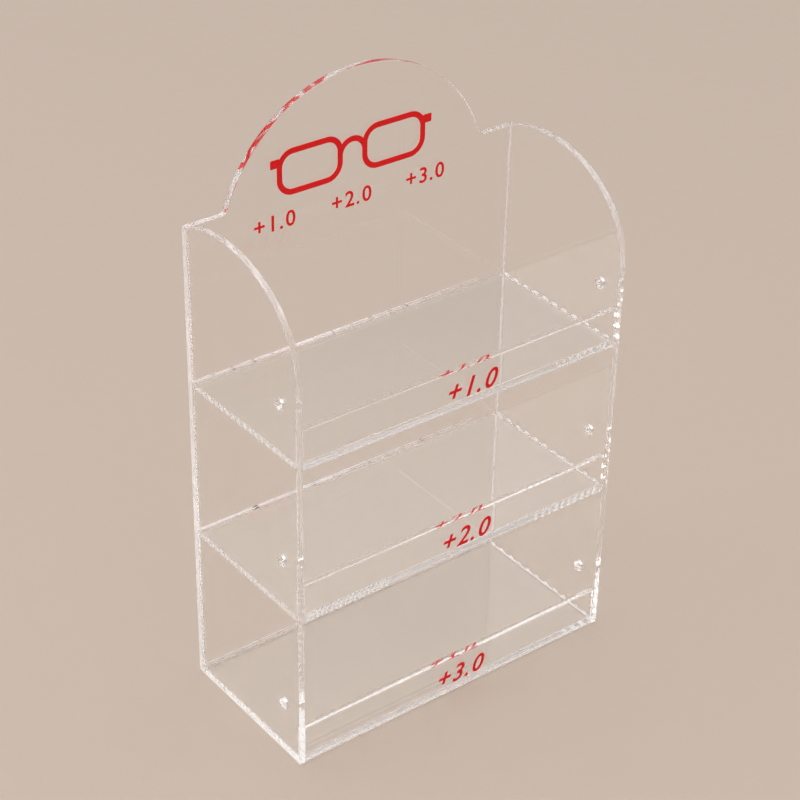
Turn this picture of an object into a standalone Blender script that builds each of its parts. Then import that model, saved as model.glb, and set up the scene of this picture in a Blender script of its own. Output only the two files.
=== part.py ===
"""Eyeglasses display stand: nine clear acrylic sheets glued together, with red cut-vinyl marks.

Frame: metres, +Z up, front facing -Y, origin at the bottom centre of the whole stand.
Sheets that are glued together keep GLUE_GAP between them, so that each one is a solid of its own.
"""

import math

import bmesh
import bpy

OBJECT_NAME = "eyeglasses_display_stand"

# Sheets and their glued joints
SHEET = 0.003
GLUE_GAP = 0.0003
VINYL = 0.0002
MARK_STANDOFF = GLUE_GAP + VINYL

# Overall shape
WIDTH = 0.170
DEPTH = 0.079
SHOULDER_HEIGHT = 0.227

# Header: a circular arch that rises above two short level shoulders
ARCH_RADIUS = 0.069
ARCH_CENTRE_Z = 0.2065
SHOULDER_FILLET = 0.003
ARCH_SEGMENTS = 64
FILLET_SEGMENTS = 6

# Side panels: the top edge is part of an ellipse that runs out level with the front edge
SIDE_ELLIPSE_DEPTH = 0.051
SIDE_ELLIPSE_HEIGHT = 0.0418
SIDE_SEGMENTS = 40

# Shelves and their front lips, from the bottom up
SHELF_NAMES = ("bottom", "middle", "top")
SHELF_PITCH = 0.0755
LIP_HEIGHT = 0.019

# Round holes through both side panels, one pair above each shelf
HOLE_DIAMETER = 0.005
HOLE_FROM_FRONT = 0.012
HOLE_ABOVE_SHELF = 0.023
HOLE_SEGMENTS = 32

# Red marks. The font's capitals are FONT_CAPITAL of its size, and each stroke grows by FONT_WEIGHT
# of it per side.
FONT_CAPITAL = 0.71
FONT_WEIGHT = 0.012
LABEL_CAPITAL = 0.0092
LABEL_PITCH = 0.0082
LABEL_SHIFT_X = 0.0026
LABEL_SLANT = 0.3
SCALE_CAPITAL = 0.0073
SCALE_PITCH = 0.0066
SCALE_GROUP_PITCH = 0.039
SCALE_BASELINE_Z = 0.2130
HEADER_SHIFT_X = -0.003
SPECTACLES_CENTRE_Z = 0.2375
LENS_WIDTH = 0.033
LENS_HEIGHT = 0.021
LENS_CORNER = 0.008
LENS_SPACING = 0.043
FRAME_STROKE = 0.0026
HINGE_TAB = 0.0045
TAB_HEIGHT = 0.0039
TAB_CORNER = 0.0006
TAB_RISE = 0.0053
CORNER_SEGMENTS = 10

# The characters of one mark, each with the name of its piece and its place in pitches
MARK_LAYOUT = (
    ("plus", "+", -1.2),
    ("digit", None, -0.2),
    ("point", ".", 0.45),
    ("zero", "0", 1.15),
)

# Places along Y
FRONT_Y = -(DEPTH + MARK_STANDOFF) / 2 + MARK_STANDOFF
BACK_Y = FRONT_Y + DEPTH
BACK_PANEL_FACE_Y = BACK_Y - SHEET
INSIDE_WIDTH = WIDTH - 2 * SHEET


def clear_scene():
    for obj in list(bpy.data.objects):
        bpy.data.objects.remove(obj, do_unlink=True)


def new_collection(name):
    collection = bpy.data.collections.new(name)
    bpy.context.scene.collection.children.link(collection)
    return collection


def principled(name, colour, roughness, transmission=0.0, ior=1.45):
    material = bpy.data.materials.new(name)
    material.use_nodes = True
    shader = material.node_tree.nodes["Principled BSDF"]
    shader.inputs["Base Color"].default_value = (*colour, 1.0)
    shader.inputs["Roughness"].default_value = roughness
    shader.inputs["Metallic"].default_value = 0.0
    shader.inputs["Transmission Weight"].default_value = transmission
    shader.inputs["IOR"].default_value = ior
    return material


def acrylic(name):
    return principled(name, (0.93, 0.92, 0.90), 0.02, transmission=1.0, ior=1.49)


def vinyl(name):
    return principled(name, (0.68, 0.01, 0.012), 0.35)


def arc(centre, radii, start, end, segments):
    """Points of an elliptical arc, from the start angle to the end angle, both included."""
    step = (end - start) / segments
    angles = [start + step * k for k in range(segments + 1)]
    return [(centre[0] + radii[0] * math.cos(a), centre[1] + radii[1] * math.sin(a)) for a in angles]


def rounded_rectangle(centre, width, height, corner):
    """Outline of a rectangle whose corners are quarter circles."""
    points = []
    for turn in range(4):
        angle = turn * math.pi / 2
        side_x = 1 if turn in (0, 3) else -1
        side_z = 1 if turn in (0, 1) else -1
        corner_x = centre[0] + side_x * (width / 2 - corner)
        corner_z = centre[1] + side_z * (height / 2 - corner)
        points += arc((corner_x, corner_z), (corner, corner), angle, angle + math.pi / 2, CORNER_SEGMENTS)
    return points


def outline_mesh(name, outlines, thickness):
    """Flat plate in its own XY plane, thickness centred on it, from one or more nested outlines."""
    curve = bpy.data.curves.new(name, "CURVE")
    curve.dimensions = "2D"
    curve.fill_mode = "BOTH"
    curve.extrude = thickness / 2
    for outline in outlines:
        spline = curve.splines.new("POLY")
        spline.points.add(len(outline) - 1)
        spline.use_cyclic_u = True
        for point, (u, v) in zip(spline.points, outline):
            point.co = (u, v, 0.0, 1.0)
    return welded_mesh(name, curve)


def glyph_mesh(name, character, capital, slant, thickness):
    """One character of the built-in font as a flat plate, centred on its advance width."""
    curve = bpy.data.curves.new(name, "FONT")
    curve.body = character
    curve.size = capital / FONT_CAPITAL
    curve.shear = slant
    curve.offset = FONT_WEIGHT * curve.size
    curve.align_x = "CENTER"
    curve.resolution_u = 3
    curve.extrude = thickness / 2
    return welded_mesh(name, curve)


def welded_mesh(name, curve):
    """Mesh of a filled curve, with its caps joined to its sides. The curve is removed."""
    guide = bpy.data.objects.new(name + "_curve", curve)
    bpy.context.scene.collection.objects.link(guide)
    graph = bpy.context.evaluated_depsgraph_get()
    mesh = bpy.data.meshes.new_from_object(guide.evaluated_get(graph))
    bpy.data.objects.remove(guide, do_unlink=True)
    bpy.data.curves.remove(curve)
    shape = bmesh.new()
    shape.from_mesh(mesh)
    bmesh.ops.remove_doubles(shape, verts=shape.verts, dist=1e-6)
    shape.to_mesh(mesh)
    shape.free()
    mesh.name = name
    return mesh


def box_mesh(name, size):
    shape = bmesh.new()
    bmesh.ops.create_cube(shape, size=1.0)
    bmesh.ops.scale(shape, vec=size, verts=shape.verts)
    mesh = bpy.data.meshes.new(name)
    shape.to_mesh(mesh)
    shape.free()
    return mesh


def add_piece(collection, parent, mesh, location, rotation, material):
    piece = bpy.data.objects.new(mesh.name, mesh)
    mesh.materials.clear()
    mesh.materials.append(material)
    piece.location = location
    piece.rotation_euler = rotation
    piece.parent = parent
    collection.objects.link(piece)
    return piece


def add_boolean(piece, other, operation):
    boolean = piece.modifiers.new(operation.lower() + "_" + other.name, "BOOLEAN")
    boolean.operation = operation
    boolean.solver = "EXACT"
    boolean.object = other


def shelf_underside(level):
    return level * SHELF_PITCH


def shelf_top(level):
    return shelf_underside(level) + SHEET


def arch_outline():
    """Header and shoulders of the back panel in X and Z, with a small fillet at the foot of the arch."""
    rise = SHOULDER_HEIGHT + SHOULDER_FILLET - ARCH_CENTRE_Z
    fillet_x = math.sqrt((ARCH_RADIUS + SHOULDER_FILLET) ** 2 - rise**2)
    arch_start = math.atan2(rise, fillet_x)
    fillet_radii = (SHOULDER_FILLET, SHOULDER_FILLET)
    fillet_centre_z = SHOULDER_HEIGHT + SHOULDER_FILLET
    right = arc(
        (fillet_x, fillet_centre_z), fillet_radii, 1.5 * math.pi, math.pi + arch_start, FILLET_SEGMENTS
    )
    arch = arc(
        (0.0, ARCH_CENTRE_Z), (ARCH_RADIUS, ARCH_RADIUS), arch_start, math.pi - arch_start, ARCH_SEGMENTS
    )
    left = [(-x, z) for x, z in reversed(right)]
    right_edge = [(WIDTH / 2, 0.0), (WIDTH / 2, SHOULDER_HEIGHT)]
    left_edge = [(-WIDTH / 2, SHOULDER_HEIGHT), (-WIDTH / 2, 0.0)]
    return right_edge + right + arch[1:-1] + left + left_edge


def side_outline():
    """Side panel as depth from the front edge and height."""
    rear = DEPTH - SHEET - GLUE_GAP
    behind_centre = (DEPTH - SHEET - SIDE_ELLIPSE_DEPTH) / SIDE_ELLIPSE_DEPTH
    centre_z = SHOULDER_HEIGHT - SIDE_ELLIPSE_HEIGHT * math.sqrt(1 - behind_centre**2)
    rear_angle = math.acos((rear - SIDE_ELLIPSE_DEPTH) / SIDE_ELLIPSE_DEPTH)
    radii = (SIDE_ELLIPSE_DEPTH, SIDE_ELLIPSE_HEIGHT)
    top = arc((SIDE_ELLIPSE_DEPTH, centre_z), radii, rear_angle, math.pi, SIDE_SEGMENTS)
    return [(0.0, 0.0), (rear, 0.0)] + top


def build_back_panel(collection, parent):
    mesh = outline_mesh("back_panel", [arch_outline()], SHEET)
    location = (0.0, BACK_Y - SHEET / 2, 0.0)
    add_piece(collection, parent, mesh, location, (math.pi / 2, 0.0, 0.0), acrylic("back_panel_acrylic"))


def build_hole_cutters(collection):
    """One long cylinder for each pair of holes."""
    cutters = []
    for level, shelf in enumerate(SHELF_NAMES):
        bpy.ops.mesh.primitive_cylinder_add(
            vertices=HOLE_SEGMENTS,
            radius=HOLE_DIAMETER / 2,
            depth=WIDTH + 4 * SHEET,
            location=(0.0, FRONT_Y + HOLE_FROM_FRONT, shelf_top(level) + HOLE_ABOVE_SHELF),
            rotation=(0.0, math.pi / 2, 0.0),
        )
        cutter = bpy.context.object
        cutter.name = shelf + "_hole_cutter"
        cutter.hide_render = True
        cutter.display_type = "WIRE"
        for owner in list(cutter.users_collection):
            owner.objects.unlink(cutter)
        collection.objects.link(cutter)
        cutters.append(cutter)
    return cutters


def build_side_panels(collection, parent, cutters):
    for side, direction in (("left", -1), ("right", 1)):
        mesh = outline_mesh(side + "_side_panel", [side_outline()], SHEET)
        location = (direction * (WIDTH - SHEET) / 2, FRONT_Y, 0.0)
        rotation = (math.pi / 2, 0.0, math.pi / 2)
        material = acrylic(side + "_side_panel_acrylic")
        panel = add_piece(collection, parent, mesh, location, rotation, material)
        for cutter in cutters:
            add_boolean(panel, cutter, "DIFFERENCE")


def build_shelves(collection, parent):
    depth = DEPTH - 2 * SHEET - 2 * GLUE_GAP
    centre_y = FRONT_Y + SHEET + GLUE_GAP + depth / 2
    for level, shelf in enumerate(SHELF_NAMES):
        mesh = box_mesh(shelf + "_shelf", (INSIDE_WIDTH - 2 * GLUE_GAP, depth, SHEET))
        location = (0.0, centre_y, shelf_underside(level) + SHEET / 2)
        material = acrylic(shelf + "_shelf_acrylic")
        add_piece(collection, parent, mesh, location, (0.0, 0.0, 0.0), material)


def build_front_lips(collection, parent):
    for level, shelf in enumerate(SHELF_NAMES):
        mesh = box_mesh(shelf + "_front_lip", (INSIDE_WIDTH - 2 * GLUE_GAP, SHEET, LIP_HEIGHT))
        location = (0.0, FRONT_Y + SHEET / 2, shelf_underside(level) + LIP_HEIGHT / 2)
        material = acrylic(shelf + "_front_lip_acrylic")
        add_piece(collection, parent, mesh, location, (0.0, 0.0, 0.0), material)


def build_mark(collection, parent, prefix, digit, place_on_face, face_y, capital, pitch, slant):
    """A lens power such as +1.0, one vinyl piece for each character, at a centre X and baseline Z."""
    centre_x, baseline_z = place_on_face
    for piece_name, character, place in MARK_LAYOUT:
        name = prefix + "_" + piece_name
        mesh = glyph_mesh(name, character or digit, capital, slant, VINYL)
        location = (centre_x + place * pitch, face_y - GLUE_GAP - VINYL / 2, baseline_z)
        add_piece(collection, parent, mesh, location, (math.pi / 2, 0.0, 0.0), vinyl(name + "_vinyl"))


def build_shelf_labels(collection, parent):
    """Slanted lens powers on the lips, weakest at the top."""
    for level, shelf in enumerate(SHELF_NAMES):
        digit = str(len(SHELF_NAMES) - level)
        baseline_z = shelf_underside(level) + (LIP_HEIGHT - LABEL_CAPITAL) / 2
        prefix = shelf + "_label"
        build_mark(
            collection,
            parent,
            prefix,
            digit,
            (LABEL_SHIFT_X, baseline_z),
            FRONT_Y,
            LABEL_CAPITAL,
            LABEL_PITCH,
            LABEL_SLANT,
        )


def build_header_scale(collection, parent):
    """Row of the three lens powers under the spectacles sign."""
    for group in range(3):
        centre_x = HEADER_SHIFT_X + (group - 1) * SCALE_GROUP_PITCH
        prefix = "header_scale_" + str(group + 1)
        build_mark(
            collection,
            parent,
            prefix,
            str(group + 1),
            (centre_x, SCALE_BASELINE_Z),
            BACK_PANEL_FACE_Y,
            SCALE_CAPITAL,
            SCALE_PITCH,
            0.0,
        )


def build_spectacles_sign(collection, guides, parent):
    """Outline of a pair of spectacles: two rims joined by a bridge, with a hinge tab on each side."""
    location = (HEADER_SHIFT_X, BACK_PANEL_FACE_Y - GLUE_GAP - VINYL / 2, SPECTACLES_CENTRE_Z)
    rotation = (math.pi / 2, 0.0, 0.0)
    rims = []
    for side, direction in (("left", -1), ("right", 1)):
        centre = (direction * LENS_SPACING / 2, 0.0)
        outer = rounded_rectangle(centre, LENS_WIDTH, LENS_HEIGHT, LENS_CORNER)
        inner_width = LENS_WIDTH - 2 * FRAME_STROKE
        inner_height = LENS_HEIGHT - 2 * FRAME_STROKE
        inner = rounded_rectangle(centre, inner_width, inner_height, LENS_CORNER - FRAME_STROKE)
        rims.append(outline_mesh("spectacles_rim_" + side, [outer, inner], VINYL))
    sign = add_piece(collection, parent, rims[0], location, rotation, vinyl("header_spectacles_vinyl"))
    sign.name = "header_spectacles"
    bridge_radius = (LENS_SPACING - LENS_WIDTH) / 2 + FRAME_STROKE
    top = arc((0.0, 0.0), (bridge_radius, bridge_radius), 0.0, math.pi, 2 * CORNER_SEGMENTS)
    inside = bridge_radius - FRAME_STROKE
    bottom = arc((0.0, 0.0), (inside, inside), math.pi, 0.0, 2 * CORNER_SEGMENTS)
    others = [rims[1], outline_mesh("spectacles_bridge", [top + bottom], VINYL)]
    for side, direction in (("left", -1), ("right", 1)):
        tab_x = direction * (LENS_SPACING + LENS_WIDTH + HINGE_TAB - FRAME_STROKE) / 2
        tab = rounded_rectangle((tab_x, TAB_RISE), HINGE_TAB, TAB_HEIGHT, TAB_CORNER)
        others.append(outline_mesh("spectacles_tab_" + side, [tab], VINYL))
    for mesh in others:
        guide = add_piece(guides, parent, mesh, location, rotation, vinyl(mesh.name + "_vinyl"))
        guide.hide_render = True
        guide.display_type = "WIRE"
        add_boolean(sign, guide, "UNION")


def main():
    clear_scene()
    collection = new_collection(OBJECT_NAME)
    guides = new_collection("cutters")
    origin = bpy.data.objects.new(OBJECT_NAME + "_origin", None)
    collection.objects.link(origin)
    build_back_panel(collection, origin)
    build_side_panels(collection, origin, build_hole_cutters(guides))
    build_shelves(collection, origin)
    build_front_lips(collection, origin)
    build_shelf_labels(collection, origin)
    build_header_scale(collection, origin)
    build_spectacles_sign(collection, guides, origin)


main()
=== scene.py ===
"""Looks of the clear acrylic eyeglasses display stand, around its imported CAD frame."""

import math

import bmesh
import bpy
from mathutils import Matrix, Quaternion, Vector


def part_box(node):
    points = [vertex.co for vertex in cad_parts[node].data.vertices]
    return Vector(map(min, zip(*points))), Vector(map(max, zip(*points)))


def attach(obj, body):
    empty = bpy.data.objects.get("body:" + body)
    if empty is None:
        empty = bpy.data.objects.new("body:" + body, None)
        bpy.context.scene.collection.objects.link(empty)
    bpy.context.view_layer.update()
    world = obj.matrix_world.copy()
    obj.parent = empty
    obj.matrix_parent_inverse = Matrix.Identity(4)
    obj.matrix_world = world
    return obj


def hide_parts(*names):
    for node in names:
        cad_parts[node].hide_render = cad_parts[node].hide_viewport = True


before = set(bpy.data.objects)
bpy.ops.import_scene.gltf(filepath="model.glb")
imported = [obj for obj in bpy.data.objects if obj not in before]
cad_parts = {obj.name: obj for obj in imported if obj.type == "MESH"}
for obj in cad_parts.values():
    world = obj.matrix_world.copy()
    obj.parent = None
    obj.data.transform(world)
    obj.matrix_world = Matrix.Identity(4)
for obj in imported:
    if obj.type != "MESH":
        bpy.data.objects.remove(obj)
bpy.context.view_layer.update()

# All lengths are in metres, and texture scales are per metre
BODY = "root"
SHELF_NAMES = ("bottom", "middle", "top")
SHEET = 0.003
AIR = 0.00006  # between two sheets at a cemented joint
RIM = 0.00025  # from a cemented patch to the edge of its sheet

# Outlines of the back panel and the side panels, as in the CAD
SHOULDER_HEIGHT = 0.227
SHOULDER_FILLET = 0.003
ARCH_RADIUS = 0.069
ARCH_CENTRE_Z = 0.2065
SIDE_ELLIPSE_DEPTH = 0.051
SIDE_ELLIPSE_HEIGHT = 0.0418
HOLE_RADIUS = 0.0025
HOLE_FROM_FRONT = 0.012
HOLE_ABOVE_SHELF = 0.023

# How finely the outlines are drawn
FILLET_SEGMENTS = 12
ARCH_SEGMENTS = 220
SIDE_ELLIPSE_SEGMENTS = 160
HOLE_SEGMENTS = 64
OUTLINE_STEP = 0.0006
SHELF_OUTLINE_STEP = 0.0004

# Places of the sheets
panel_low, panel_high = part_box("back_panel")
LEFT_X, RIGHT_X = panel_low.x, panel_high.x
PANEL_Y, REAR_Y = panel_low.y, panel_high.y
FRONT_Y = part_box("left_side_panel")[0].y
INSIDE_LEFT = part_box("left_side_panel")[1].x
INSIDE_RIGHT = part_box("right_side_panel")[0].x
LIP_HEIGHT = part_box("top_front_lip")[1].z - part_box("top_front_lip")[0].z

# Outward directions of cut edges, in a sheet's own outline
LEFT_WAY = (-1.0, 0.0)
RIGHT_WAY = (1.0, 0.0)
DOWN_WAY = (0.0, -1.0)
SAME_WAY = 0.95  # least cosine between an edge's normal and the direction that it faces

# Cut edges: a bevel on each rim, and between them long, gentle waves left by the cutter
EDGE_BEVEL = 0.00018
BEVEL_MIDDLE = EDGE_BEVEL * 0.3
EDGE_LAYERS = 5
WAVE_PITCH = 0.013
WAVE_DEPTH = 0.000004
NO_WAVES = 0.0
WAVE_WANDER = ((0.9, 7.3, 0.0), (0.6, 17.9, 1.0))  # amount, waves it takes, start
WAVE_STRENGTH = (0.65, 0.35, 11.0, 0.5)  # mean, swing, waves it takes, start
SHARP_ANGLE = math.radians(24)  # a crease sharper than this is not smoothed

# Material slots of a sheet's mesh, besides slot 0 for its flat faces
POLISHED_SLOT = 1
ROUGH_SLOT = 2
BONDED_SLOT = 3

# Vinyl: sunk a hair into the acrylic, so that it shows inside the sheet too
VINYL_SINK = 0.00003
VINYL_THICKNESS = 0.00012


def curve_points(centre, radii, start, end, segments):
    points = []
    for k in range(segments + 1):
        angle = start + (end - start) / segments * k
        u = centre[0] + radii[0] * math.cos(angle)
        v = centre[1] + radii[1] * math.sin(angle)
        points.append((u, v))
    return points


def rectangle(u_low, u_high, v_low, v_high):
    return [(u_low, v_low), (u_high, v_low), (u_high, v_high), (u_low, v_high)]


def resample(points, step):
    """Closed outline with every straight stretch split into steps no longer than asked."""
    result = []
    for index, start in enumerate(points):
        end = points[(index + 1) % len(points)]
        count = max(1, math.ceil(math.dist(start, end) / step))
        for k in range(count):
            share = k / count
            u = start[0] + share * (end[0] - start[0])
            v = start[1] + share * (end[1] - start[1])
            result.append((u, v))
    return result


def outward_normals(points):
    """Mitred outward normal at each point of a closed counter-clockwise outline."""
    normals = []
    count = len(points)
    for index, point in enumerate(points):
        before = Vector(point) - Vector(points[index - 1])
        after = Vector(points[(index + 1) % count]) - Vector(point)
        side_before = Vector((before.y, -before.x)).normalized()
        side_after = Vector((after.y, -after.x)).normalized()
        middle = (side_before + side_after).normalized()
        normals.append(middle / max(0.5, middle.dot(side_after)))
    return normals


def wave_at(u, v, depth):
    """Depth of a cut edge's waves at a point of the outline, for waves up to this deep."""
    phase = 2 * math.pi * (u + v) / WAVE_PITCH
    wander = sum(amount * math.sin(phase / waves + start) for amount, waves, start in WAVE_WANDER)
    mean, swing, waves, start = WAVE_STRENGTH
    strength = mean + swing * math.sin(phase / waves + start)
    return depth * strength * (0.5 - 0.5 * math.cos(phase + wander))


def edge_slot(normal, rough, bonded):
    """Material slot of a cut edge that faces this way."""
    for slot, ways in ((ROUGH_SLOT, rough), (BONDED_SLOT, bonded)):
        if any(normal.dot(Vector(way)) > SAME_WAY for way in ways):
            return slot
    return POLISHED_SLOT


def sheet_mesh(name, loops, place, waves, rough=(), bonded=(), patches=()):
    """Sheet from nested closed outlines: flat faces, bevelled rims and cut edges.

    place turns a point of the outline and a height across the sheet into a point in space.
    rough and bonded list the outward directions whose edges were left rough, or are cemented to
    another sheet; the others are polished. Each of patches is a face, -1 or 1, and an outline on
    it where another sheet is cemented.
    """
    shape = bmesh.new()
    half = SHEET / 2
    inner = half - EDGE_BEVEL
    layers = [(-half, EDGE_BEVEL), (-inner - BEVEL_MIDDLE, BEVEL_MIDDLE)]
    for k in range(EDGE_LAYERS):
        layers.append((-inner + 2 * inner * k / (EDGE_LAYERS - 1), 0.0))
    layers += [(inner + BEVEL_MIDDLE, BEVEL_MIDDLE), (half, EDGE_BEVEL)]
    rims = ([], [])
    for loop in loops:
        normals = outward_normals(loop)
        rings = []
        for across, inset in layers:
            ring = []
            for (u, v), normal in zip(loop, normals):
                depth = inset + (wave_at(u, v, waves) if inset < EDGE_BEVEL else waves)
                point = place(u - normal.x * depth, v - normal.y * depth, across)
                ring.append(shape.verts.new(point))
            rings.append(ring)
        count = len(loop)
        for below, above in zip(rings, rings[1:]):
            for index in range(count):
                following = (index + 1) % count
                corners = (below[index], below[following], above[following], above[index])
                face = shape.faces.new(corners)
                normal = ((normals[index] + normals[following]) / 2).normalized()
                face.material_index = edge_slot(normal, rough, bonded)
                face.smooth = True
        for rim, ring in zip(rims, (rings[0], rings[-1])):
            for index in range(count):
                rim.append(shape.edges.get((ring[index], ring[(index + 1) % count])))
    for side, outline in patches:
        patch = shape.faces.new([shape.verts.new(place(u, v, side * half)) for u, v in outline])
        patch.material_index = BONDED_SLOT
        rims[0 if side < 0 else 1].extend(patch.edges)
    for rim in rims:
        bmesh.ops.triangle_fill(shape, edges=rim, use_beauty=True)
    bmesh.ops.recalc_face_normals(shape, faces=shape.faces)
    mesh = bpy.data.meshes.new(name)
    shape.to_mesh(mesh)
    shape.free()
    mesh.set_sharp_from_angle(angle=SHARP_ANGLE)
    return mesh


# Materials: colours are linear, and a roughness is its least and most
ACRYLIC_IOR = 1.49
FACE_COLOUR = (0.996, 0.995, 0.994, 1.0)
FACE_ROUGHNESS = (0.0, 0.012)
SCRATCH_SCALE = (260.0, 260.0, 7.0)
SCRATCH_TURN = (0.5, 0.35, 0.2)
# Painted reflection: the white of the bubble flakes stands in for light reflected by the air gaps
# in the cement
PAINTED_GLINT_COLOUR = (0.97, 0.96, 0.955, 1.0)
CEMENT_ROUGHNESS = (0.12, 0.45)
CEMENT_GRAIN = 300.0
RED_COLOURS = ((0.73, 0.007, 0.009, 1.0), (0.83, 0.010, 0.012, 1.0))
RED_CLOUD = 220.0
RED_SPECULAR = 0.2
RED_ROUGHNESS = (0.45, 0.65)
PEEL_SCALE = 1800.0
PEEL_STRENGTH = 0.15
PEEL_DEPTH = 0.00002

# Parts of the noise's range: nearly all of it, its middle, and only its peaks
NOISE_MOST = (0.3, 0.7)
NOISE_MIDDLE = (0.35, 0.65)
NOISE_PEAKS = (0.66, 0.80)


def node_tree(name):
    material = bpy.data.materials.new(name)
    material.use_nodes = True
    tree = material.node_tree
    return material, tree, tree.nodes["Principled BSDF"]


def object_place(tree):
    return tree.nodes.new("ShaderNodeTexCoord").outputs["Object"]


def noise(tree, place, scale, detail):
    node = tree.nodes.new("ShaderNodeTexNoise")
    node.inputs["Scale"].default_value = scale
    node.inputs["Detail"].default_value = detail
    tree.links.new(place, node.inputs["Vector"])
    return node.outputs["Fac"]


def remap(tree, source, source_range, result_range):
    """The source value stretched from one range onto another, held inside it."""
    node = tree.nodes.new("ShaderNodeMapRange")
    node.clamp = True
    node.inputs["From Min"].default_value, node.inputs["From Max"].default_value = source_range
    node.inputs["To Min"].default_value, node.inputs["To Max"].default_value = result_range
    tree.links.new(source, node.inputs["Value"])
    return node.outputs["Result"]


def face_material():
    """Polished faces: clear, with hairline scratches."""
    material, tree, shader = node_tree("clear_acrylic_face")
    shader.inputs["Base Color"].default_value = FACE_COLOUR
    shader.inputs["Transmission Weight"].default_value = 1.0
    shader.inputs["IOR"].default_value = ACRYLIC_IOR
    place = object_place(tree)
    stretch = tree.nodes.new("ShaderNodeMapping")
    stretch.inputs["Scale"].default_value = SCRATCH_SCALE
    stretch.inputs["Rotation"].default_value = SCRATCH_TURN
    tree.links.new(place, stretch.inputs["Vector"])
    scratches = noise(tree, stretch.outputs["Vector"], scale=1.0, detail=2.0)
    rough = remap(tree, scratches, NOISE_PEAKS, FACE_ROUGHNESS)
    tree.links.new(rough, shader.inputs["Roughness"])
    return material


def edge_material(name, roughness, clearness, colour, grain):
    """Cut edges: more or less polished, and unevenly so."""
    material, tree, shader = node_tree(name)
    shader.inputs["Base Color"].default_value = (*colour, 1.0)
    shader.inputs["Transmission Weight"].default_value = clearness
    shader.inputs["IOR"].default_value = ACRYLIC_IOR
    streaks = noise(tree, object_place(tree), scale=grain, detail=1.0)
    tree.links.new(remap(tree, streaks, NOISE_MIDDLE, roughness), shader.inputs["Roughness"])
    return material


def bonded_material():
    """A cemented joint, where the sheets have become one and light passes straight on."""
    material, tree, shader = node_tree("cemented_joint")
    tree.nodes.remove(shader)
    clear = tree.nodes.new("ShaderNodeBsdfTransparent")
    tree.links.new(clear.outputs["BSDF"], tree.nodes["Material Output"].inputs["Surface"])
    return material


def bubble_and_glint_material():
    """Bubbles and dry patches in the cemented joints, with their silvery reflection painted as an
    opaque white colour.
    """
    material, tree, shader = node_tree("cement_bubbles_painted_glint")
    shader.inputs["Base Color"].default_value = PAINTED_GLINT_COLOUR
    grain = noise(tree, object_place(tree), scale=CEMENT_GRAIN, detail=1.0)
    tree.links.new(remap(tree, grain, NOISE_MOST, CEMENT_ROUGHNESS), shader.inputs["Roughness"])
    return material


def vinyl_material():
    """Matt red film, with the orange-peel of cut vinyl and a slightly uneven colour."""
    material, tree, shader = node_tree("red_vinyl_film")
    shader.inputs["Specular IOR Level"].default_value = RED_SPECULAR
    place = object_place(tree)
    peel = noise(tree, place, scale=PEEL_SCALE, detail=2.0)
    tree.links.new(remap(tree, peel, NOISE_MOST, RED_ROUGHNESS), shader.inputs["Roughness"])
    bump = tree.nodes.new("ShaderNodeBump")
    bump.inputs["Strength"].default_value = PEEL_STRENGTH
    bump.inputs["Distance"].default_value = PEEL_DEPTH
    tree.links.new(peel, bump.inputs["Height"])
    tree.links.new(bump.outputs["Normal"], shader.inputs["Normal"])
    cloud = noise(tree, place, scale=RED_CLOUD, detail=2.0)
    ramp = tree.nodes.new("ShaderNodeValToRGB")
    for element, colour in zip(ramp.color_ramp.elements, RED_COLOURS):
        element.color = colour
    tree.links.new(cloud, ramp.inputs["Fac"])
    tree.links.new(ramp.outputs["Color"], shader.inputs["Base Color"])
    return material


CLEAR = face_material()
POLISHED = edge_material(
    "clear_acrylic_polished_edge",
    roughness=(0.09, 0.15),
    clearness=1.0,
    colour=(0.99, 0.984, 0.98),
    grain=30.0,
)
SAWN = edge_material(
    "clear_acrylic_sawn_edge",
    roughness=(0.25, 0.5),
    clearness=0.5,
    colour=(0.98, 0.97, 0.965),
    grain=90.0,
)
BONDED = bonded_material()
FROSTED = edge_material(
    "cemented_front_edge",
    roughness=(0.15, 0.30),
    clearness=0.85,
    colour=(0.95, 0.945, 0.94),
    grain=60.0,
)
BUBBLE_AND_GLINT = bubble_and_glint_material()
RED = vinyl_material()


def add_piece(name, mesh, materials):
    for material in materials:
        mesh.materials.append(material)
    piece = bpy.data.objects.new(name, mesh)
    bpy.context.scene.collection.objects.link(piece)
    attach(piece, BODY)
    return piece


def add_sheet(node, mesh, rough_edge=SAWN):
    piece = add_piece(node + "_sheet", mesh, (CLEAR, POLISHED, rough_edge, BONDED))
    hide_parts(node)


def build_back_panel():
    fillet_z = SHOULDER_HEIGHT + SHOULDER_FILLET
    rise = fillet_z - ARCH_CENTRE_Z
    fillet_x = math.sqrt((ARCH_RADIUS + SHOULDER_FILLET) ** 2 - rise**2)
    start = math.atan2(rise, fillet_x)
    right = curve_points(
        (fillet_x, fillet_z),
        (SHOULDER_FILLET, SHOULDER_FILLET),
        1.5 * math.pi,
        math.pi + start,
        FILLET_SEGMENTS,
    )
    arch = curve_points(
        (0.0, ARCH_CENTRE_Z), (ARCH_RADIUS, ARCH_RADIUS), start, math.pi - start, ARCH_SEGMENTS
    )
    left = [(-x, z) for x, z in reversed(right)]
    right_edge = [(RIGHT_X, 0.0), (RIGHT_X, SHOULDER_HEIGHT)]
    left_edge = [(LEFT_X, SHOULDER_HEIGHT), (LEFT_X, 0.0)]
    outline = resample(right_edge + right + arch[1:-1] + left + left_edge, OUTLINE_STEP)
    middle_y = (PANEL_Y + REAR_Y) / 2
    patch_height = SHOULDER_HEIGHT - RIM
    mesh = sheet_mesh(
        "back_panel_sheet",
        [outline],
        lambda u, v, w: (u, middle_y - w, v),
        WAVE_DEPTH,
        rough=(LEFT_WAY, RIGHT_WAY, DOWN_WAY),
        patches=[
            (1, rectangle(LEFT_X + RIM, INSIDE_LEFT - RIM / 2, RIM, patch_height)),
            (1, rectangle(INSIDE_RIGHT + RIM / 2, RIGHT_X - RIM, RIM, patch_height)),
        ],
    )
    add_sheet("back_panel", mesh)


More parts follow.
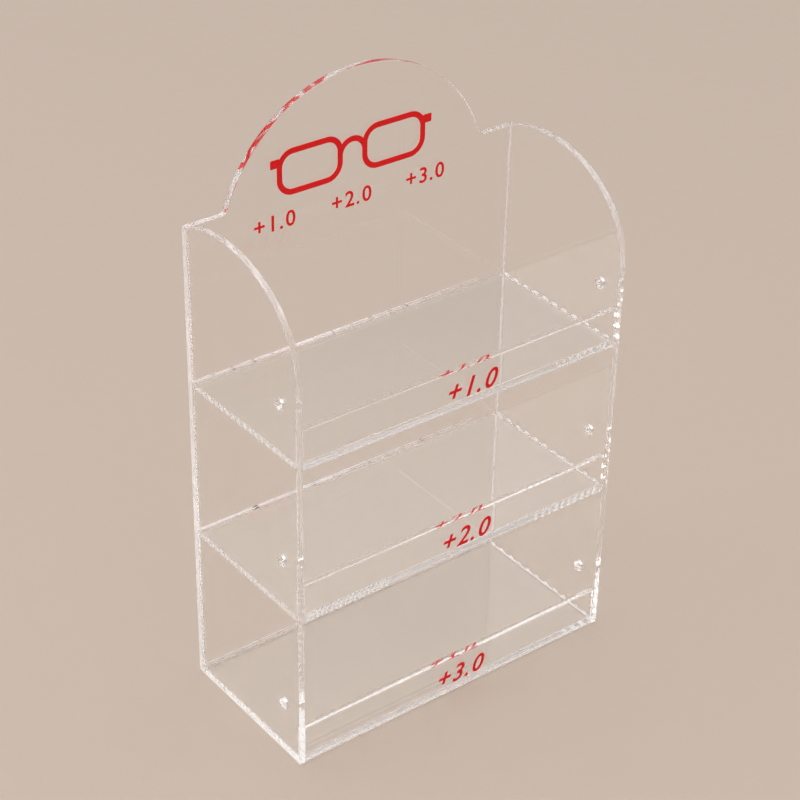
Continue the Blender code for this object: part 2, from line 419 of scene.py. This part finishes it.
def shelf_patch(shelf, rear):
    """Outline on a side panel where a shelf and its lip are cemented to it."""
    low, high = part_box(shelf + "_shelf")
    shelf_top = high.z - RIM / 2
    lip_top = low.z + LIP_HEIGHT - RIM
    lip_back = SHEET - RIM / 2
    return [
        (RIM, low.z + RIM),
        (rear - RIM, low.z + RIM),
        (rear - RIM, shelf_top),
        (lip_back, shelf_top),
        (lip_back, lip_top),
        (RIM, lip_top),
    ]


def build_side_panel(side):
    """A side panel. Its outline runs from the front edge, as does that of its patches."""
    low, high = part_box(side + "_side_panel")
    middle_x = (low.x + high.x) / 2
    rear = PANEL_Y - AIR - FRONT_Y
    panel_start = PANEL_Y - FRONT_Y
    centre_z = SHOULDER_HEIGHT - SIDE_ELLIPSE_HEIGHT * math.sqrt(
        1 - ((panel_start - SIDE_ELLIPSE_DEPTH) / SIDE_ELLIPSE_DEPTH) ** 2
    )
    top = curve_points(
        (SIDE_ELLIPSE_DEPTH, centre_z),
        (SIDE_ELLIPSE_DEPTH, SIDE_ELLIPSE_HEIGHT),
        math.acos((rear - SIDE_ELLIPSE_DEPTH) / SIDE_ELLIPSE_DEPTH),
        math.pi,
        SIDE_ELLIPSE_SEGMENTS,
    )
    loops = [resample([(0.0, 0.0), (rear, 0.0)] + top, OUTLINE_STEP)]
    for shelf in SHELF_NAMES:
        centre = (HOLE_FROM_FRONT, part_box(shelf + "_shelf")[1].z + HOLE_ABOVE_SHELF)
        radii = (HOLE_RADIUS, HOLE_RADIUS)
        loops.append(curve_points(centre, radii, 2 * math.pi, 0.0, HOLE_SEGMENTS)[:-1])
    patches = []
    if side == "right":
        patches = [(-1, shelf_patch(shelf, rear)) for shelf in SHELF_NAMES]
    mesh = sheet_mesh(
        side + "_side_panel_sheet",
        loops,
        lambda u, v, w: (middle_x + w, FRONT_Y + u, v),
        WAVE_DEPTH,
        rough=(DOWN_WAY,),
        bonded=(RIGHT_WAY,),
        patches=patches,
    )
    add_sheet(side + "_side_panel", mesh)


def build_shelf(shelf):
    """A shelf, with a frosted front edge and a wetted right-hand joint."""
    low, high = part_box(shelf + "_shelf")
    lip_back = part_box(shelf + "_front_lip")[1].y
    middle_z = (low.z + high.z) / 2
    corners = rectangle(INSIDE_LEFT + AIR, INSIDE_RIGHT - AIR, lip_back + AIR, PANEL_Y - AIR)
    mesh = sheet_mesh(
        shelf + "_shelf_sheet",
        [resample(corners, SHELF_OUTLINE_STEP)],
        lambda u, v, w: (u, v, middle_z + w),
        NO_WAVES,
        rough=(DOWN_WAY,),
        bonded=(RIGHT_WAY,),
    )
    add_sheet(shelf + "_shelf", mesh, FROSTED)


def build_lip(shelf):
    """A lip, cemented to the side panels at its ends and to the shelf at its back."""
    low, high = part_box(shelf + "_front_lip")
    shelf_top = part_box(shelf + "_shelf")[1].z
    middle_y = (low.y + high.y) / 2
    corners = rectangle(INSIDE_LEFT + AIR, INSIDE_RIGHT - AIR, low.z, high.z)
    patch = rectangle(INSIDE_LEFT + RIM, INSIDE_RIGHT - RIM, low.z + RIM, shelf_top - RIM / 2)
    mesh = sheet_mesh(
        shelf + "_front_lip_sheet",
        [resample(corners, OUTLINE_STEP)],
        lambda u, v, w: (u, middle_y - w, v),
        WAVE_DEPTH,
        bonded=(LEFT_WAY, RIGHT_WAY),
        patches=[(-1, patch)],
    )
    add_sheet(shelf + "_front_lip", mesh)


def build_vinyl(node, face_y):
    """A cut-vinyl mark from the CAD mark's outline, pressed onto the acrylic face behind it."""
    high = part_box(node)[1]
    thickness = high.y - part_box(node)[0].y
    scale = (VINYL_THICKNESS + VINYL_SINK) / thickness
    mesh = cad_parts[node].data.copy()
    mesh.name = node + "_film"
    for vertex in mesh.vertices:
        vertex.co.y = face_y + VINYL_SINK - (high.y - vertex.co.y) * scale
    mesh.materials.clear()
    piece = add_piece(node + "_film", mesh, (RED,))
    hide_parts(node)


# Cemented joints: flat white flakes, which are bubbles and dry patches in the cement, with the
# bright reflection of their air gaps painted on as white colour
FLAKE_HALF = 0.00002  # half of a flake's thickness
FLAKE_CORNERS = 10
FULL_FROM = 1.4  # above 1, so that a joint that fades starts with a stretch of full width
LEAST_STRENGTH = 0.15  # a joint that fades stops here
LENGTH_SPREAD = (0.88, 0.24)  # least length, and how much is added by chance
PLACE_SPREAD = 0.12  # share of the pitch by which a flake may be out of place
HASH_STEPS = (12.9898, 78.233, 43758.5453)
X_AXIS = (1.0, 0.0, 0.0)
Y_AXIS = (0.0, 1.0, 0.0)
Z_AXIS = (0.0, 0.0, 1.0)


def hash_share(index, seed):
    """A repeatable number from 0 to 1 for each index."""
    value = math.sin(index * HASH_STEPS[0] + seed * HASH_STEPS[1]) * HASH_STEPS[2]
    return value - math.floor(value)


def signed_power(value, power):
    return math.copysign(abs(value) ** power, value)


def add_bubble_and_glint_flakes(name, start, along, across, length, width, pattern):
    """A row of flakes from start, each a closed lens of its own.

    In the pattern, pitch is the distance from one flake to the next, fill the share of it that a
    flake covers, reach the least and most share of the joint's width, slant how far a flake
    leans, fade how much the flakes narrow along the joint, rise where they lie across it from -1
    to 1, and square their shape, from 1 for an oval to 0 for a rectangle.
    """
    pitch, seed, square = pattern["pitch"], pattern["seed"], pattern.get("square", 0.8)
    reach_low, reach_high = pattern["reach"]
    slant, fade, rise = (pattern.get(key, 0.0) for key in ("slant", "fade", "rise"))
    shape = bmesh.new()
    along = Vector(along)
    across = Vector(across)
    depth = along.cross(across)
    count = int(length / pitch)
    for index in range(count):
        strength = min(1.0, FULL_FROM - fade * (index + 0.5) / count)
        if strength < LEAST_STRENGTH:
            break
        chance_length, chance_place, chance_reach = (hash_share(index, seed + k) for k in (1, 2, 3))
        size = pitch * pattern["fill"] * (LENGTH_SPREAD[0] + LENGTH_SPREAD[1] * chance_length)
        centre_s = (index + 0.5 + PLACE_SPREAD * (chance_place - 0.5)) * pitch
        tall = width * strength * (reach_low + (reach_high - reach_low) * chance_reach)
        centre_t = width / 2 + rise * (width - tall) / 2
        rings = ([], [])
        for ring, level in zip(rings, (-1, 1)):
            for corner in range(FLAKE_CORNERS):
                angle = 2 * math.pi * corner / FLAKE_CORNERS
                t = 0.5 * tall * signed_power(math.sin(angle), square)
                s = 0.5 * size * signed_power(math.cos(angle), square) + slant * t
                point = Vector(start) + along * (centre_s + s) + across * (centre_t + t)
                ring.append(shape.verts.new(point + depth * (level * FLAKE_HALF)))
        below, above = rings
        shape.faces.new(below)
        shape.faces.new(above)
        for corner in range(FLAKE_CORNERS):
            following = (corner + 1) % FLAKE_CORNERS
            shape.faces.new((below[corner], below[following], above[following], above[corner]))
    bmesh.ops.recalc_face_normals(shape, faces=shape.faces)
    mesh = bpy.data.meshes.new(name)
    shape.to_mesh(mesh)
    shape.free()
    add_piece(name, mesh, (BUBBLE_AND_GLINT,))


# Joints at the two ends of each shelf
LEFT_END_PATTERNS = {
    "bottom": dict(pitch=0.0036, fill=0.45, reach=(0.50, 0.62), slant=0.5, seed=11.0),
    "middle": dict(pitch=0.0036, fill=0.48, reach=(0.58, 0.72), slant=0.6, seed=12.0),
    "top": dict(pitch=0.0042, fill=0.48, reach=(0.62, 0.78), slant=0.2, seed=13.0),
}
RIGHT_END_PATTERNS = {
    "bottom": dict(pitch=0.0066, fill=0.48, reach=(0.38, 0.44), slant=0.2, seed=14.0, rise=1.0),
    "middle": dict(pitch=0.0066, fill=0.50, reach=(0.42, 0.48), slant=0.2, seed=15.0, rise=1.0),
    "top": dict(pitch=0.0066, fill=0.52, reach=(0.44, 0.50), slant=0.2, seed=16.0, rise=1.0),
}
SQUEEZED_OUT = 0.0008  # how far the right-hand flakes stand above the shelf

# Flakes inside the back panel at each shelf's top, which stand in for the joint behind the shelf: a
# painted highlight of the bright lines and bands that light makes along it
LINE_HEIGHT = 0.0012
LINE = dict(pitch=0.0100, fill=1.05, rise=1.0, square=0.3)
LINE_PATTERNS = {
    "bottom": dict(LINE, reach=(0.55, 0.65), seed=21.0, fade=1.5),
    "middle": dict(LINE, reach=(0.80, 0.95), seed=22.0, fade=1.3),
    "top": dict(LINE, reach=(0.85, 1.0), seed=23.0, fade=1.3),
}
BAND = dict(pitch=0.0100, fill=1.05, fade=2.4, square=0.4)
BAND_PATTERNS = {
    "middle": dict(BAND, reach=(0.92, 0.98), seed=25.0),
    "top": dict(BAND, reach=(0.50, 0.60), seed=26.0, rise=0.8),
}

# Front joints, each over a share of the width
FRONT_PATTERNS = {
    "bottom": [(0.0, 1.0, dict(pitch=0.0100, fill=1.02, reach=(0.06, 0.10), seed=31.0, rise=-1.0))],
    "middle": [
        (0.0, 0.28, dict(pitch=0.0024, fill=0.45, reach=(0.70, 0.90), slant=0.9, seed=32.0)),
        (0.76, 1.0, dict(pitch=0.0038, fill=0.50, reach=(0.80, 0.95), slant=0.5, seed=34.0)),
    ],
    "top": [
        (
            0.80,
            1.0,
            dict(pitch=0.0038, fill=0.50, reach=(0.35, 0.50), slant=0.5, seed=33.0, rise=0.5),
        ),
    ],
}

# Joints between the side panels and the back panel
UPRIGHT_PATTERN = dict(pitch=0.0040, fill=0.55, reach=(0.18, 0.28), slant=0.3, seed=41.0, rise=0.9)


def build_shelf_joints(shelf):
    low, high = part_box(shelf + "_shelf")
    lip_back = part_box(shelf + "_front_lip")[1].y
    depth = PANEL_Y - lip_back
    width = INSIDE_RIGHT - INSIDE_LEFT
    for side, x, height, patterns in (
        ("left", INSIDE_LEFT + AIR / 2, SHEET, LEFT_END_PATTERNS),
        ("right", INSIDE_RIGHT - AIR / 2, SHEET + SQUEEZED_OUT, RIGHT_END_PATTERNS),
    ):
        name = f"{shelf}_shelf_{side}_joint"
        add_bubble_and_glint_flakes(name, (x, lip_back, low.z), Y_AXIS, Z_AXIS, depth, height, patterns[shelf])
    for place, y in (("front", PANEL_Y + AIR), ("rear", REAR_Y - AIR)):
        name = f"{shelf}_slot_{place}_line"
        start = (INSIDE_LEFT, y, high.z - LINE_HEIGHT / 2)
        add_bubble_and_glint_flakes(name, start, X_AXIS, Z_AXIS, width, LINE_HEIGHT, LINE_PATTERNS[shelf])
    if shelf in BAND_PATTERNS:
        name = shelf + "_slot_patches"
        start = (INSIDE_LEFT, PANEL_Y + 2 * AIR, high.z)
        add_bubble_and_glint_flakes(name, start, X_AXIS, Y_AXIS, width, SHEET - 4 * AIR, BAND_PATTERNS[shelf])
    for number, (first, last, pattern) in enumerate(FRONT_PATTERNS[shelf], 1):
        name = f"{shelf}_shelf_front_joint_{number}"
        start = (INSIDE_LEFT + first * width, lip_back + AIR / 2, low.z)
        add_bubble_and_glint_flakes(name, start, X_AXIS, Z_AXIS, (last - first) * width, SHEET, pattern)


def build_upright_joint(side, start_x):
    name = side + "_upright_joint"
    start = (start_x, PANEL_Y - AIR / 2, 0.0)
    add_bubble_and_glint_flakes(name, start, Z_AXIS, X_AXIS, SHOULDER_HEIGHT, SHEET, UPRIGHT_PATTERN)


FLOOR_COLOUR = (0.355, 0.289, 0.243, 1.0)
FLOOR_ROUGHNESS = (0.38, 0.46)
FLOOR_GRAIN = 90.0
FLOOR_RADIUS = 9.0
FLOOR_DROP = 0.0002  # below the stand's underside
SKY_COLOUR = (1.0, 0.985, 0.965, 1.0)
SKY_GLOW = (0.45, 2.3)
SKY_RISE = (0.50, 0.85)  # upward parts of the direction between which the glow grows
SOFTBOX_AIM = (0.0, 0.0, 0.1)
CAMERA_LOCATION = Vector((-0.478, -0.610, 0.623))
CAMERA_AIM = Vector((0.0253, 0.0377, 0.1053))
CAMERA_ROLL = math.radians(1.18)
CAMERA_LENS = 96.07
CAMERA_SENSOR = 36.0
CAMERA_CLIP = (0.02, 50.0)
ACRYLIC_BOUNCES = 160  # light crosses and runs along many sheets
DIFFUSE_BOUNCES = 6
TRANSPARENT_BOUNCES = 96
INDIRECT_CLAMP = 3.0


def build_floor():
    material, tree, shader = node_tree("pale_floor")
    shader.inputs["Base Color"].default_value = FLOOR_COLOUR
    grain = noise(tree, object_place(tree), scale=FLOOR_GRAIN, detail=4.0)
    tree.links.new(remap(tree, grain, NOISE_MOST, FLOOR_ROUGHNESS), shader.inputs["Roughness"])
    bpy.ops.mesh.primitive_circle_add(
        vertices=96, radius=FLOOR_RADIUS, fill_type="NGON", location=(0.0, 0.0, -FLOOR_DROP)
    )
    floor = bpy.context.object
    floor.name = "floor"
    floor.data.materials.append(material)


def build_world():
    """Studio tent: dim near the floor, bright overhead, with no hard-edged reflections."""
    world = bpy.data.worlds.new("studio")
    world.use_nodes = True
    tree = world.node_tree
    background = tree.nodes["Background"]
    background.inputs["Color"].default_value = SKY_COLOUR
    direction = tree.nodes.new("ShaderNodeTexCoord").outputs["Generated"]
    height = tree.nodes.new("ShaderNodeSeparateXYZ")
    tree.links.new(direction, height.inputs["Vector"])
    glow = remap(tree, height.outputs["Z"], SKY_RISE, SKY_GLOW)
    tree.links.new(glow, background.inputs["Strength"])
    bpy.context.scene.world = world


def add_softbox(name, location, size, power, colour):
    light = bpy.data.lights.new(name, "AREA")
    light.shape = "RECTANGLE"
    light.size = size
    light.size_y = size
    light.energy = power
    light.color = colour
    softbox = bpy.data.objects.new(name, light)
    softbox.location = location
    direction = Vector(SOFTBOX_AIM) - Vector(location)
    softbox.rotation_euler = direction.to_track_quat("-Z", "Y").to_euler()
    softbox.visible_camera = False
    bpy.context.scene.collection.objects.link(softbox)


def build_camera():
    data = bpy.data.cameras.new("camera")
    data.lens = CAMERA_LENS
    data.sensor_width = CAMERA_SENSOR
    data.clip_start, data.clip_end = CAMERA_CLIP
    camera = bpy.data.objects.new("camera", data)
    camera.location = CAMERA_LOCATION
    turn = (CAMERA_AIM - CAMERA_LOCATION).to_track_quat("-Z", "Y")
    camera.rotation_mode = "QUATERNION"
    camera.rotation_quaternion = turn @ Quaternion(Z_AXIS, CAMERA_ROLL)
    bpy.context.scene.collection.objects.link(camera)
    bpy.context.scene.camera = camera


def set_light_paths():
    scene = bpy.context.scene
    scene.cycles.max_bounces = ACRYLIC_BOUNCES
    scene.cycles.transmission_bounces = ACRYLIC_BOUNCES
    scene.cycles.glossy_bounces = ACRYLIC_BOUNCES
    scene.cycles.diffuse_bounces = DIFFUSE_BOUNCES
    scene.cycles.transparent_max_bounces = TRANSPARENT_BOUNCES
    scene.cycles.caustics_reflective = True
    scene.cycles.caustics_refractive = True
    scene.cycles.blur_glossy = 0.0
    scene.cycles.sample_clamp_indirect = INDIRECT_CLAMP
    scene.view_settings.view_transform = "Standard"


for shelf in SHELF_NAMES:
    build_shelf_joints(shelf)
build_upright_joint("left", LEFT_X)
build_upright_joint("right", INSIDE_RIGHT)
build_back_panel()
build_side_panel("left")
build_side_panel("right")
for shelf in SHELF_NAMES:
    build_shelf(shelf)
    build_lip(shelf)
for node in sorted(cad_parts):
    if "_label_" in node:
        build_vinyl(node, FRONT_Y)
    elif node.startswith("header_"):
        build_vinyl(node, PANEL_Y)

build_floor()
build_world()
add_softbox(
    "overhead_softbox", location=(0.1, 0.1, 2.2), size=2.2, power=6.0, colour=(1.0, 0.98, 0.95)
)
add_softbox(
    "back_left_softbox", location=(-1.5, 1.0, 0.9), size=1.2, power=8.0, colour=(1.0, 0.99, 0.98)
)
build_camera()
set_light_paths()
